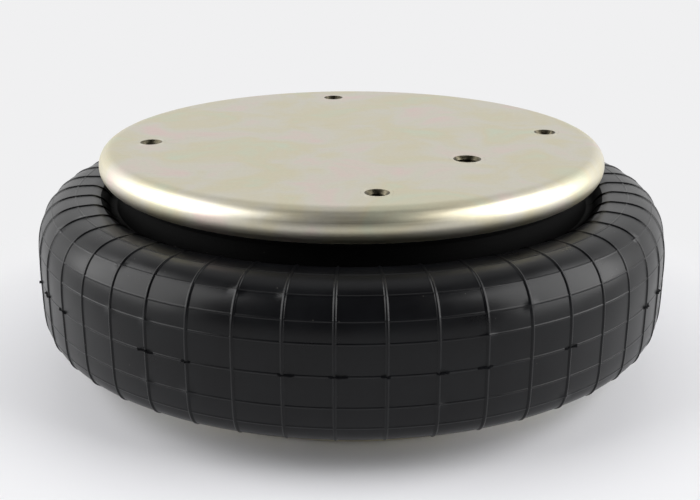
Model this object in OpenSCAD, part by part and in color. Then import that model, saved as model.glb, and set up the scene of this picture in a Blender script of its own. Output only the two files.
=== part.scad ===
// Air bellows actuator: one rubber convolution crimped into two rolled steel bead plates.
// The origin is the centre of the lower plate's outer face, and +Z is the direction of the stroke.

/* [Overall] */
// Height over both plates, standing with no air pressure
rest_h = 122; // [108:1:150]
// How far the soft wall's middle line sags below half height
sag = 5; // [0:0.5:6]

/* [Bead plates] */
// Diameter over the rolled rim
plate_d = 287; // [250:1:330]
// Thickness of the sheet steel
sheet_t = 2.5; // [1.5:0.1:3.2]

/* [Bellows wall] */
// How far the bellows stands out past the rim of the plates
bulge = 36; // [26:1:48]
// Flat run of the shoulder past the rim
shoulder_run = 6.5; // [2:0.5:12]
// Clear height between the upper rim and the shoulder
shoulder_gap = 7; // [5:0.5:18]
// Clear height between the lower rim and the wall that sags over it
sag_gap = 0.8; // [0.6:0.1:10]
// Radius of the hollow between the upper neck and the shoulder
hollow_r = 4; // [2:0.5:6]
// Slope of the shoulder's inner side, down into that hollow
shoulder_slope = 60; // [20:5:75]
// Squareness of the convolution's upper half, where 2 is an ellipse
squareness = 3; // [2.2:0.1:4]
// Squareness of its lower half, which sagging flattens
sag_squareness = 5.4; // [2.2:0.1:6]
// Thickness of the inner liner
liner_t = 1.2; // [0.8:0.1:1.6]
// Thickness of each cord ply
ply_t = 0.8; // [0.5:0.1:1.2]
// Thickness of the outer cover
cover_t = 1.6; // [1:0.1:2.4]
// Film of bonding gum between two layers
bond_film = 0.1; // [0.05:0.01:0.15]

/* [Beads] */
// Diameter of the wire core in each bead
core_d = 7.3; // [5:0.1:8]
// Play between a bead and the rolled rim
bead_play = 0.3; // [0.2:0.05:0.5]
// Angle at which the liner meets the cover over the bead
toe_angle = 45; // [20:5:70]
// Angle at which the turned-up plies end under the bead
ply_end_angle = -60; // [-75:5:-40]

/* [Blind nuts] */
// Distance from the plate's edge to the bolt circle
bolt_inset = 29.2; // [28.5:0.1:50]
// Diameter of the tapped bore
bolt_bore_d = 8.5; // [6:0.1:10]
// Depth of the tapped bore
bolt_bore_depth = 14; // [10:1:20]
// Diameter of the chamfer at the mouth of the bore
bolt_mouth_d = 12.4; // [11:0.1:15]
// Diameter of the neck pressed into the plate
nut_neck_d = 16; // [15.6:0.1:20]
// Diameter of the closed barrel
nut_barrel_d = 17; // [14:0.5:20]
// Solid floor under the tapped bore
nut_floor_t = 3.5; // [2:0.5:6]

/* [Air inlet] */
// Diameter of the circle on which the inlet lies
inlet_circle_d = 158.8; // [120:0.2:164]
// Angle of the inlet from the first bolt
inlet_angle = -45; // [-60:1:-30]
// Diameter of the tapped bore
inlet_bore_d = 11.4; // [9:0.1:14]
// Diameter of the chamfer at the mouth of the bore
inlet_mouth_d = 15; // [14.2:0.1:18]
// Diameter of the neck pressed into the plate
inlet_neck_d = 19; // [18.4:0.1:24]
// Diameter of the barrel
inlet_barrel_d = 20; // [17:0.5:24]
// Length of the inlet nut
inlet_length = 16; // [10:1:24]

/* [Nut flanges] */
// Width of the ledge that bears on the plate
flange_ledge = 3; // [1.5:0.5:4]
// Thickness of the flange
flange_t = 2.5; // [1.5:0.5:4]
// Gap round a neck in its hole
press_gap = 0.05; // [0.02:0.01:0.1]

/* [Hidden] */

$fn = 128;
bolt_count = 4;
// A bead core is one wire with a ring of wires laid round it
ring_wires = 6;
wire_gap = 0.02;
// Straight steps in each quarter of the convolution, in a neck hollow and round a bead
convolution_steps = 16;
hollow_steps = 10;
bead_step_angle = 15;
// How far a cutting shape passes the face that it cuts
cut_over = 1;

zinc_plate = [0.80, 0.78, 0.72];
black_rubber = [0.11, 0.11, 0.12];
cord_fabric = [0.45, 0.38, 0.26];
bead_wire = [0.62, 0.55, 0.36];

// Radii round the bead's centre, from the wire core out to the rolled sheet
core_r = core_d / 2;
bead_r = core_r + 2 * ply_t + liner_t;
roll_r = bead_r + bead_play;
rim_r = roll_r + sheet_t;
rim_h = 2 * rim_r;

// Depths through the wall, counted from the air side
inner_ply_depth = liner_t;
outer_ply_depth = inner_ply_depth + ply_t;
cover_depth = outer_ply_depth + ply_t;
wall_t = cover_depth + cover_t;

plate_r = plate_d / 2;
bead_circle_r = plate_r - rim_r;
neck_inside_r = bead_circle_r - bead_r;
neck_outside_r = neck_inside_r + wall_t;
lip_r = neck_outside_r + bead_play;
crest_r = plate_r + shoulder_run;
convolution_w = bulge - shoulder_run;

// The wall's two halves, each as its height from the middle line to the plate's outer face, the clear height
// under the rim, the radius of the neck's hollow, the squareness and the slope of the shoulder's inner side
mid_h = rest_h / 2 - sag;
UPPER = [rest_h - mid_h, shoulder_gap, hollow_r, squareness, shoulder_slope];
LOWER = [mid_h, sag_gap, min(sag_gap, hollow_r), sag_squareness, 0];

bolt_circle_r = plate_r - bolt_inset;
wire_pitch = 2 * core_r / 3;

function polar(radius, angle) = radius * [cos(angle), sin(angle)];

function reversed(points) = [for (i = [len(points) - 1 : -1 : 0]) points[i]];

// A half's outline counts its height from the middle line towards the half's plate
function bead_centre(half) = [bead_circle_r, half[0] - rim_r];

function crest_h(half) = half[0] - rim_h - half[1];

// Puts an upper and a lower outline together, from the upper bead to the lower one
function joined(upper_points, lower_points) = concat(
    [for (p = upper_points) [p[0], mid_h + p[1]]],
    [for (p = reversed(lower_points)) [p[0], mid_h - p[1]]]
);

function bead_arc(half, radius, from_angle, to_angle) =
    let (steps = ceil(abs(to_angle - from_angle) / bead_step_angle))
    [for (i = [0 : steps]) bead_centre(half) + polar(radius, from_angle + (to_angle - from_angle) * i / steps)];

// Point of the convolution's outer face, a quarter of a superellipse
function superellipse_point(half, t) = [
    crest_r + convolution_w * pow(cos(t), 2 / half[3]),
    crest_h(half) * pow(sin(t), 2 / half[3])
];

function superellipse_normal(half, t) =
    let (n = [
        pow(cos(t), 2 - 2 / half[3]) / convolution_w,
        pow(sin(t), 2 - 2 / half[3]) / crest_h(half)
    ])
    n / norm(n);

// Radius of the shoulder's round inner edge, which is tangent to the hollow. A level shoulder has none.
function shoulder_r(half) =
    half[4] == 0 ? 0 : (crest_r - neck_outside_r - half[2]) / sin(half[4]) - half[2];

function shoulder_centre(half) = [crest_r, crest_h(half) - shoulder_r(half)];

function hollow_centre(half) = [
    neck_outside_r + half[2],
    shoulder_centre(half)[1] + (half[2] + shoulder_r(half)) * cos(half[4])
];

// Surface at one depth in the wall, from under the bead to the middle line
function wall_face(half, depth) =
    let (inset = wall_t - depth)
    concat(
        [for (i = [0 : hollow_steps])
            hollow_centre(half) + polar(half[2] + inset, 180 + (90 + half[4]) * i / hollow_steps)],
        half[4] == 0 ? [] : [for (i = [1 : hollow_steps - 1])
            shoulder_centre(half) + polar(shoulder_r(half) - inset, 90 + half[4] * (1 - i / hollow_steps))],
        [for (i = [0 : convolution_steps])
            let (t = 90 - 90 * i / convolution_steps)
            superellipse_point(half, t) - inset * superellipse_normal(half, t)]
    );

// Face of a layer that starts with a wrap round the bead
function wrapped_face(half, depth, start_angle) = concat(
    bead_arc(half, bead_r - depth, start_angle, 180),
    wall_face(half, depth)
);

// The cover's bonded face: over the ply wraps, past their ends and under the core
function cover_bonded_face(half) = concat(
    bead_arc(half, bead_r - inner_ply_depth + bond_film, toe_angle, ply_end_angle - bead_step_angle / 3),
    bead_arc(half, core_r + bond_film, ply_end_angle - bead_step_angle, -150),
    [[neck_inside_r + cover_depth, bead_centre(half)[1] - core_r]],
    wall_face(half, cover_depth)
);

// The cover's free face, round the outside of the bead and down the neck
function cover_free_face(half) =
    let (neck_angle = -acos((neck_outside_r - bead_circle_r) / bead_r))
    concat(bead_arc(half, bead_r, toe_angle, neck_angle), wall_face(half, wall_t));

// Turns a layer between its two faces, each from the upper bead to the lower one
module turned_layer(inner_face, outer_face) {
    rotate_extrude()
        polygon(concat(outer_face, reversed(inner_face)));
}

// Layer between two depths in the wall, wrapped round the beads from one angle on
module wrapped_layer(inner_depth, outer_depth, start_angle) {
    turned_layer(
        joined(wrapped_face(UPPER, inner_depth, start_angle), wrapped_face(LOWER, inner_depth, start_angle)),
        joined(wrapped_face(UPPER, outer_depth, start_angle), wrapped_face(LOWER, outer_depth, start_angle))
    );
}

// Half section of a plate whose outer face is at height zero, with its rim rolled downward
module plate_section() {
    translate([0, -sheet_t])
        square([bead_circle_r, sheet_t]);
    translate([bead_circle_r, -rim_r])
        difference() {
            circle(r = rim_r);
            circle(r = roll_r);
            translate([-2 * rim_r, 0])
                square([2 * rim_r, 2 * rim_r]);
            translate([lip_r - bead_circle_r - 2 * rim_r, -2 * rim_r])
                square([2 * rim_r, 2 * rim_r]);
        }
}

module at_bolt(i) {
    rotate(360 * (i - 1) / bolt_count)
        translate([bolt_circle_r, 0, 0])
            children();
}

module at_inlet() {
    rotate(inlet_angle)
        translate([inlet_circle_d / 2, 0, 0])
            children();
}

// Hole through the sheet for the neck of a nut
module neck_hole(neck_d) {
    translate([0, 0, -sheet_t - cut_over])
        cylinder(d = neck_d + 2 * press_gap, h = sheet_t + 2 * cut_over);
}

module bead_plate() {
    difference() {
        rotate_extrude()
            plate_section();
        for (i = [1 : bolt_count])
            at_bolt(i)
                neck_hole(nut_neck_d);
    }
}

// Nut whose neck is flush with the plate's outer face at height zero
module plate_nut(neck_d, barrel_d, length, bore_d, bore_depth, mouth_d) {
    chamfer = (mouth_d - bore_d) / 2;
    flange_d = max(neck_d, barrel_d) + 2 * flange_ledge;
    difference() {
        union() {
            translate([0, 0, -sheet_t - flange_t])
                cylinder(d = neck_d, h = sheet_t + flange_t);
            translate([0, 0, -sheet_t - flange_t])
                cylinder(d = flange_d, h = flange_t);
            translate([0, 0, -length])
                cylinder(d = barrel_d, h = length - sheet_t - flange_t / 2);
        }
        translate([0, 0, -bore_depth])
            cylinder(d = bore_d, h = bore_depth + cut_over);
        translate([0, 0, -chamfer])
            cylinder(d1 = bore_d, d2 = mouth_d + 2 * cut_over, h = chamfer + cut_over);
    }
}

module blind_nut() {
    plate_nut(
        nut_neck_d,
        nut_barrel_d,
        bolt_bore_depth + nut_floor_t,
        bolt_bore_d,
        bolt_bore_depth,
        bolt_mouth_d
    );
}

module wire_hoop(offset_in_core) {
    rotate_extrude()
        translate([bead_circle_r, -rim_r] + offset_in_core)
            circle(r = wire_pitch / 2 - wire_gap);
}

// Wire core of a plate whose outer face is at height zero
module bead_core() {
    wire_hoop([0, 0]);
    for (i = [0 : ring_wires - 1])
        wire_hoop(polar(wire_pitch, 360 * i / ring_wires));
}

// Turns a piece of the upper plate over onto the lower one
module turned_down() {
    mirror([0, 0, 1])
        children();
}

module lifted() {
    translate([0, 0, rest_h])
        children();
}

module bottom_bead_plate() {
    color(zinc_plate)
        turned_down()
            bead_plate();
}

module bottom_blind_nut(i) {
    color(zinc_plate)
        turned_down()
            at_bolt(i)
                blind_nut();
}

module bottom_bead_core() {
    color(bead_wire)
        turned_down()
            bead_core();
}

module outer_cover() {
    color(black_rubber)
        turned_layer(
            joined(cover_bonded_face(UPPER), cover_bonded_face(LOWER)),
            joined(cover_free_face(UPPER), cover_free_face(LOWER))
        );
}

module outer_ply() {
    color(cord_fabric)
        wrapped_layer(outer_ply_depth, cover_depth - bond_film, ply_end_angle);
}

module inner_ply() {
    color(cord_fabric)
        wrapped_layer(inner_ply_depth, outer_ply_depth - bond_film, ply_end_angle);
}

module inner_liner() {
    color(black_rubber)
        wrapped_layer(0, inner_ply_depth - bond_film, toe_angle + bead_step_angle / 3);
}

module top_bead_core() {
    color(bead_wire)
        lifted()
            bead_core();
}

module top_bead_plate() {
    color(zinc_plate)
        lifted()
            difference() {
                bead_plate();
                at_inlet()
                    neck_hole(inlet_neck_d);
            }
}

module top_blind_nut(i) {
    color(zinc_plate)
        lifted()
            at_bolt(i)
                blind_nut();
}

module air_inlet_nut() {
    color(zinc_plate)
        lifted()
            at_inlet()
                plate_nut(
                    inlet_neck_d,
                    inlet_barrel_d,
                    inlet_length,
                    inlet_bore_d,
                    inlet_length + cut_over,
                    inlet_mouth_d
                );
}

bottom_bead_plate();
for (i = [1 : bolt_count])
    bottom_blind_nut(i);
bottom_bead_core();
outer_cover();
outer_ply();
inner_ply();
inner_liner();
top_bead_core();
top_bead_plate();
for (i = [1 : bolt_count])
    top_blind_nut(i);
air_inlet_nut();
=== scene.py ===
"""Looks of an air bellows actuator: a black rubber convolution crimped into two zinc-plated bead plates.

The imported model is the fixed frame. Every mesh is in metres in that frame, with the origin at the centre of
the lower plate's outer face and +Z along the stroke. Sizes in the classes are in millimetres, as a maker
would write them.
"""

import logging
import math
from dataclasses import dataclass
from enum import Enum
from typing import Any, Iterable

import bmesh
import bpy
import numpy as np
from mathutils import Matrix, Vector

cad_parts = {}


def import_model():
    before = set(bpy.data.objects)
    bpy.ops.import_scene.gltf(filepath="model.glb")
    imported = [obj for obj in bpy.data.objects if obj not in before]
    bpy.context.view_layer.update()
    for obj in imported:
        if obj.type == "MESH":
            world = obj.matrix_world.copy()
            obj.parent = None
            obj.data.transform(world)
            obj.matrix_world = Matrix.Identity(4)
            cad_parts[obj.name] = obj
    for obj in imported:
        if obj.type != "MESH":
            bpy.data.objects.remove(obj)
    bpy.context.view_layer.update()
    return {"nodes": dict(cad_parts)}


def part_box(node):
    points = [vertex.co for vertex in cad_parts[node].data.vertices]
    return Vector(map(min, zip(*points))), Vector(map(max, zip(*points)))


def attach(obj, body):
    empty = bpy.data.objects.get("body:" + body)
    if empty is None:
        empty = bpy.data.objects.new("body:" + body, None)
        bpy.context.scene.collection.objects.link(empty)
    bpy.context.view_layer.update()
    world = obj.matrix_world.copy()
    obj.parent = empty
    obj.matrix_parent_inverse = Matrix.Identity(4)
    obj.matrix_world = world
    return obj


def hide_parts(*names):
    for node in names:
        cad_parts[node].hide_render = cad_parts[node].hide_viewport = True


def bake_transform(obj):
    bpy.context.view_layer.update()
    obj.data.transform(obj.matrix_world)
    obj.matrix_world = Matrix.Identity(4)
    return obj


LOG = logging.getLogger("bellows")
MM = 0.001
SEED = 915
# The wave texture runs through this many radians in one unit of its scale.
WAVE_RADIANS = 20.0


class Side(Enum):
    """The two ends of the bellows, by the name of the body that carries each."""

    BASE = "base"
    TOP = "top"

    @property
    def prefix(self) -> str:
        """First word of the nodes at this end."""
        return "top" if self is Side.TOP else "bottom"

    def facing(self, place: Vector) -> Matrix:
        """Works out the move that takes a piece drawn facing up to its place at this end.

        Args:
            place: Where the piece's outer face lies, in millimetres.

        Returns:
            The move, in metres.
        """
        turn = Matrix.Identity(4) if self is Side.TOP else Matrix.Rotation(math.pi, 4, "X")
        return Matrix.Translation(place * MM) @ turn


class Closing(Enum):
    """How the rows of a turned mesh are closed."""

    LOOP = "the last row joins the first"
    AXIS = "the first and last rows are single points on the axis"


def linear(hex_colour: str) -> tuple[float, float, float, float]:
    """Turns an sRGB hex colour into linear red, green, blue and alpha.

    Args:
        hex_colour: Six hex digits after a hash sign.

    Returns:
        Linear components from 0 to 1, with an alpha of 1.
    """
    values = [int(hex_colour[i : i + 2], 16) / 255 for i in (1, 3, 5)]
    red, green, blue = [v / 12.92 if v <= 0.04045 else ((v + 0.055) / 1.055) ** 2.4 for v in values]
    return red, green, blue, 1.0


def add_node(
    tree: bpy.types.NodeTree, kind: str, inputs: dict[Any, Any] | None = None, **settings: Any
) -> Any:
    """Adds one shader node with its settings, socket values and links.

    Args:
        tree: The node tree that gets the node.
        kind: The node's type name.
        inputs: Socket names or numbers, each with a value or with the output socket to link.
        settings: Attributes of the node itself.

    Returns:
        The new node.
    """
    node = tree.nodes.new(kind)
    for name, value in settings.items():
        setattr(node, name, value)
    for key, value in (inputs or {}).items():
        if isinstance(value, bpy.types.NodeSocket):
            tree.links.new(value, node.inputs[key])
        else:
            node.inputs[key].default_value = value
    return node


def set_ramp(node: Any, stops: Iterable[tuple[float, str]]) -> None:
    """Gives a colour ramp its stops.

    Args:
        node: A colour ramp node.
        stops: Positions from 0 to 1 with their hex colours, the two ends first.
    """
    elements = node.color_ramp.elements
    for index, (place, colour) in enumerate(stops):
        element = elements[index] if index < 2 else elements.new(place)
        element.position = place
        element.color = linear(colour)


def per_mm(size_mm: float) -> float:
    """Returns the texture scale at which one feature is about this many millimetres wide."""
    return 1.0 / (size_mm * MM)


@dataclass(frozen=True)
class Finish:
    """A surface finish, which makes its own material from the principled shader.

    Attributes:
        name: What the surface is made of and how it was made.
    """

    name: str

    def material(self) -> bpy.types.Material:
        """Makes the finish's material on first use.

        Returns:
            The material.
        """
        found = bpy.data.materials.get(self.name)
        if found:
            return found
        material = bpy.data.materials.new(self.name)
        material.use_nodes = True
        tree = material.node_tree
        tree.nodes.clear()
        shader = add_node(tree, "ShaderNodeBsdfPrincipled")
        add_node(tree, "ShaderNodeOutputMaterial", {"Surface": shader.outputs["BSDF"]})
        place = add_node(tree, "ShaderNodeTexCoord").outputs["Object"]
        self.dress(tree, shader, place)
        return material

    def dress(self, tree: bpy.types.NodeTree, shader: Any, place: Any) -> None:
        """Sets up the shader.

        Args:
            tree: The material's node tree.
            shader: Its principled shader.
            place: The position in the frame, in metres.
        """
        raise NotImplementedError


@dataclass(frozen=True)
class ZincPlatedSteel(Finish):
    """Cold-rolled sheet, electroplated with zinc and passivated.

    The crystalline plating scatters light into a satin grey-white, and the thin chromate film over it shifts
    in slow patches between straw yellow, pale green and pale pink. Over the rim the sheet is burnished by the
    rolling tool, which leaves it brighter, with fine marks round it.

    Attributes:
        flat_roughness: Roughness of the flat sheet.
        rim_roughness: Roughness of the burnished rim, between its marks.
        grain_roughness: What the rolling grain adds to it.
        mark_roughness: What the tool's marks add to it.
        scratch_roughness: What a scratch adds to it.
        scratch_relief: Depth of a scratch against the grain's height.
    """

    flat_roughness: float = 0.40
    rim_roughness: float = 0.22
    grain_roughness: float = 0.10
    mark_roughness: float = 0.34
    scratch_roughness: float = 0.05
    scratch_relief: float = -0.35
    film_patch_mm: float = 42.0
    spangle_mm: float = 1.6
    grain_mm: float = 0.5
    scratch_mm: float = 26.0
    mark_mm: float = 0.7

    def dress(self, tree: bpy.types.NodeTree, shader: Any, place: Any) -> None:
        """Sets up the plating's film colours, spangle, rolling grain and burnished rim.

        Args:
            tree: The material's node tree.
            shader: Its principled shader.
            place: The position in the frame, in metres.
        """
        film = add_node(
            tree, "ShaderNodeTexNoise",
            {
                "Vector": place, "Scale": per_mm(self.film_patch_mm),
                "Detail": 3.0, "Roughness": 0.55, "Distortion": 0.6,
            },
        )
        colours = add_node(tree, "ShaderNodeValToRGB", {"Fac": film.outputs["Fac"]})
        set_ramp(colours, [(0.30, "#D2C1B9"), (0.70, "#C5C9B4"), (0.44, "#CBC7B9"), (0.57, "#CBC4AB")])
        spangle = add_node(
            tree, "ShaderNodeTexNoise", {"Vector": place, "Scale": per_mm(self.spangle_mm), "Detail": 2.0}
        )
        mottle = add_node(
            tree, "ShaderNodeMapRange", {"Value": spangle.outputs["Fac"], "To Min": 0.94, "To Max": 1.04}
        )
        tinted = add_node(
            tree, "ShaderNodeMix", {"Factor": 1.0, 6: colours.outputs["Color"], 7: mottle.outputs["Result"]},
            data_type="RGBA", blend_type="MULTIPLY",
        )
        # The rolling grain is drawn about ten times as coarse as it is, so that it shows at all.
        stretched = add_node(tree, "ShaderNodeMapping", {"Vector": place, "Scale": (0.03, 1.0, 1.0)})
        grain = add_node(
            tree, "ShaderNodeTexNoise",
            {"Vector": stretched.outputs["Vector"], "Scale": per_mm(self.grain_mm), "Detail": 2.0},
        )
        slanted = add_node(
            tree, "ShaderNodeMapping",
            {"Vector": place, "Rotation": (0.0, 0.0, 0.7), "Scale": (0.05, 1.0, 1.0)},
        )
        scratches = add_node(
            tree, "ShaderNodeTexVoronoi",
            {"Vector": slanted.outputs["Vector"], "Scale": per_mm(self.scratch_mm)},
            feature="DISTANCE_TO_EDGE",
        )
        scratch = add_node(
            tree, "ShaderNodeMapRange",
            {"Value": scratches.outputs["Distance"], "From Max": 0.012, "To Min": 1.0, "To Max": 0.0},
        )
        upright = add_node(tree, "ShaderNodeNewGeometry").outputs["Normal"]
        facing = add_node(tree, "ShaderNodeSeparateXYZ", {"Vector": upright})
        level = add_node(tree, "ShaderNodeMath", {0: facing.outputs["Z"]}, operation="ABSOLUTE")
        burnished = add_node(
            tree, "ShaderNodeMapRange",
            {
                "Value": level.outputs["Value"], "From Min": 0.80, "From Max": 0.99,
                "To Min": self.rim_roughness, "To Max": self.flat_roughness,
            },
        )
        rough = add_node(
            tree, "ShaderNodeMath",
            {0: grain.outputs["Fac"], 1: self.grain_roughness, 2: burnished.outputs["Result"]},
            operation="MULTIPLY_ADD",
        )
        # The marks that the rolling tool left round the rim are drawn about five times as coarse as they are.
        flat = add_node(tree, "ShaderNodeVectorMath", {0: place, 1: (1.0, 1.0, 0.0)}, operation="MULTIPLY")
        radius = add_node(tree, "ShaderNodeVectorMath", {0: flat.outputs["Vector"]}, operation="LENGTH")
        height = add_node(tree, "ShaderNodeSeparateXYZ", {"Vector": place})
        section = add_node(
            tree, "ShaderNodeCombineXYZ", {"X": radius.outputs["Value"], "Y": height.outputs["Z"]}
        )
        winding = add_node(
            tree, "ShaderNodeVectorMath", {0: place, 1: (0.01, 0.01, 0.0), 2: section.outputs["Vector"]},
            operation="MULTIPLY_ADD",
        )
        marks = add_node(
            tree, "ShaderNodeTexNoise",
            {"Vector": winding.outputs["Vector"], "Scale": per_mm(self.mark_mm), "Detail": 2.0},
        )
        on_rim = add_node(
            tree, "ShaderNodeMapRange", {"Value": level.outputs["Value"], "From Min": 0.99, "From Max": 0.90}
        )
        rolled = add_node(
            tree, "ShaderNodeMath", {0: marks.outputs["Fac"], 1: on_rim.outputs["Result"]},
            operation="MULTIPLY",
        )
        scored = add_node(
            tree, "ShaderNodeMath",
            {0: rolled.outputs["Value"], 1: self.mark_roughness, 2: rough.outputs["Value"]},
            operation="MULTIPLY_ADD",
        )
        dulled = add_node(
            tree, "ShaderNodeMath",
            {0: scratch.outputs["Result"], 1: self.scratch_roughness, 2: scored.outputs["Value"]},
            operation="MULTIPLY_ADD",
        )
        relief = add_node(
            tree, "ShaderNodeMath",
            {0: scratch.outputs["Result"], 1: self.scratch_relief, 2: grain.outputs["Fac"]},
            operation="MULTIPLY_ADD",
        )
        bump = add_node(
            tree, "ShaderNodeBump",
            {"Strength": 0.05, "Distance": 0.02 * MM, "Height": relief.outputs["Value"]},
        )
        tree.links.new(tinted.outputs[2], shader.inputs["Base Color"])
        tree.links.new(dulled.outputs["Value"], shader.inputs["Roughness"])
        tree.links.new(bump.outputs["Normal"], shader.inputs["Normal"])
        shader.inputs["Metallic"].default_value = 1.0


@dataclass(frozen=True)
class TappedSteel(Finish):
    """Steel tapped after plating and left oiled.

    The oil and the cut flanks make it darker than the plating, and its colour is made darker still as painted
    shade inside the bore and its mouth, with small bright glints on the crests.
    """

    oil_patch_mm: float = 3.0

    def dress(self, tree: bpy.types.NodeTree, shader: Any, place: Any) -> None:
        """Sets up the oiled, cut surface.

        Args:
            tree: The material's node tree.
            shader: Its principled shader.
            place: The position in the frame, in metres.
        """
        oil = add_node(
            tree, "ShaderNodeTexNoise", {"Vector": place, "Scale": per_mm(self.oil_patch_mm), "Detail": 3.0}
        )
        colours = add_node(tree, "ShaderNodeValToRGB", {"Fac": oil.outputs["Fac"]})
        # These dark colours stand partly for oiled bare steel and partly for painted shade inside the bore.
        set_ramp(colours, [(0.35, "#3E3A2E"), (0.65, "#6E6858")])
        rough = add_node(
            tree, "ShaderNodeMapRange", {"Value": oil.outputs["Fac"], "To Min": 0.28, "To Max": 0.50}
        )
        tree.links.new(colours.outputs["Color"], shader.inputs["Base Color"])
        tree.links.new(rough.outputs["Result"], shader.inputs["Roughness"])
        shader.inputs["Metallic"].default_value = 1.0


@dataclass(frozen=True)
class MouldedRubber(Finish):
    """Chloroprene cover rubber, vulcanised against a polished steel mould.

    Carbon black makes it almost black. The mould's polish leaves a satin skin that shows soft reflections, a
    faint wax bloom greys it in patches, and light dust lies on it in specks.

    Attributes:
        skin_roughness: Roughness of the skin.
        bloom_roughness: How much it differs between bare and bloomed patches.
        gloss: Level of the skin's reflection, less than a smooth face has because of its fine pits.
        deep: Colour of bare rubber.
        pale: Colour of bloomed rubber.
        dust: Colour of the dust.
        dust_share: How far a speck of it covers the rubber.
    """

    skin_roughness: float = 0.30
    bloom_roughness: float = 0.16
    gloss: float = 0.20
    deep: str = "#0A0A0C"
    pale: str = "#0F1012"
    dust: str = "#77746E"
    dust_share: float = 0.35
    bloom_patch_mm: float = 24.0
    skin_grain_mm: float = 0.7
    dust_mm: float = 9.0

    def dress(self, tree: bpy.types.NodeTree, shader: Any, place: Any) -> None:
        """Sets up the rubber's skin, its bloom and its dust.

        Args:
            tree: The material's node tree.
            shader: Its principled shader.
            place: The position in the frame, in metres.
        """
        bloom = add_node(
            tree, "ShaderNodeTexNoise",
            {"Vector": place, "Scale": per_mm(self.bloom_patch_mm), "Detail": 5.0, "Roughness": 0.6},
        )
        colours = add_node(tree, "ShaderNodeValToRGB", {"Fac": bloom.outputs["Fac"]})
        set_ramp(colours, [(0.35, self.deep), (0.70, self.pale)])
        cells = add_node(tree, "ShaderNodeTexVoronoi", {"Vector": place, "Scale": per_mm(self.dust_mm)})
        speck = add_node(
            tree, "ShaderNodeMapRange",
            {
                "Value": cells.outputs["Distance"], "From Min": 0.015, "From Max": 0.04,
                "To Min": self.dust_share, "To Max": 0.0,
            },
        )
        dusted = add_node(
            tree, "ShaderNodeMix",
            {"Factor": speck.outputs["Result"], 6: colours.outputs["Color"], 7: linear(self.dust)},
            data_type="RGBA",
        )
        # The skin's grain is drawn about twice as coarse as it is, so that it shows at all.
        grain = add_node(
            tree, "ShaderNodeTexNoise", {"Vector": place, "Scale": per_mm(self.skin_grain_mm), "Detail": 3.0}
        )
        mixed = add_node(
            tree, "ShaderNodeMath",
            {
                0: bloom.outputs["Fac"], 1: self.bloom_roughness,
                2: self.skin_roughness - self.bloom_roughness / 2,
            },
            operation="MULTIPLY_ADD",
        )
        bump = add_node(
            tree, "ShaderNodeBump", {"Strength": 0.10, "Distance": 0.05 * MM, "Height": grain.outputs["Fac"]}
        )
        tree.links.new(dusted.outputs[2], shader.inputs["Base Color"])
        tree.links.new(mixed.outputs["Value"], shader.inputs["Roughness"])
        tree.links.new(bump.outputs["Normal"], shader.inputs["Normal"])
        shader.inputs["IOR"].default_value = 1.52
        shader.inputs["Specular IOR Level"].default_value = self.gloss


@dataclass(frozen=True)
class CordFabric(Finish):
    """Nylon cord laid side by side and calendered with rubber, which shows as parallel ridges on the bias.

    Attributes:
        cord_pitch_mm: Distance from cord to cord.
        turned: Bias of the cords in radians.
    """

    cord_pitch_mm: float = 1.1
    turned: float = 0.9

    def dress(self, tree: bpy.types.NodeTree, shader: Any, place: Any) -> None:
        """Sets up the ridges of the cords.

        Args:
            tree: The material's node tree.
            shader: Its principled shader.
            place: The position in the frame, in metres.
        """
        slanted = add_node(
            tree, "ShaderNodeMapping", {"Vector": place, "Rotation": (0.0, self.turned, self.turned)}
        )
        ridges_per_m = per_mm(self.cord_pitch_mm) * 2 * math.pi / WAVE_RADIANS
        cords = add_node(
            tree, "ShaderNodeTexWave",
            {"Vector": slanted.outputs["Vector"], "Scale": ridges_per_m, "Distortion": 0.4},
        )
        colours = add_node(tree, "ShaderNodeValToRGB", {"Fac": cords.outputs["Fac"]})
        set_ramp(colours, [(0.2, "#3B3022"), (0.8, "#8A7550")])
        bump = add_node(
            tree, "ShaderNodeBump",
            {"Strength": 0.4, "Distance": 0.2 * MM, "Height": cords.outputs["Fac"]},
        )
        tree.links.new(colours.outputs["Color"], shader.inputs["Base Color"])
        tree.links.new(bump.outputs["Normal"], shader.inputs["Normal"])
        shader.inputs["Roughness"].default_value = 0.75


@dataclass(frozen=True)
class BronzedWire(Finish):
    """Drawn steel bead wire with a bronze wash for the rubber to bond to, warm and semi-bright."""

    tone_patch_mm: float = 2.0

    def dress(self, tree: bpy.types.NodeTree, shader: Any, place: Any) -> None:
        """Sets up the drawn wire's tone.

        Args:
            tree: The material's node tree.
            shader: Its principled shader.
            place: The position in the frame, in metres.
        """
        tone = add_node(
            tree, "ShaderNodeTexNoise", {"Vector": place, "Scale": per_mm(self.tone_patch_mm), "Detail": 2.0}
        )
        colours = add_node(tree, "ShaderNodeValToRGB", {"Fac": tone.outputs["Fac"]})
        set_ramp(colours, [(0.3, "#8C6F3C"), (0.7, "#C6A566")])
        tree.links.new(colours.outputs["Color"], shader.inputs["Base Color"])
        shader.inputs["Metallic"].default_value = 1.0
        shader.inputs["Roughness"].default_value = 0.35


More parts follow.
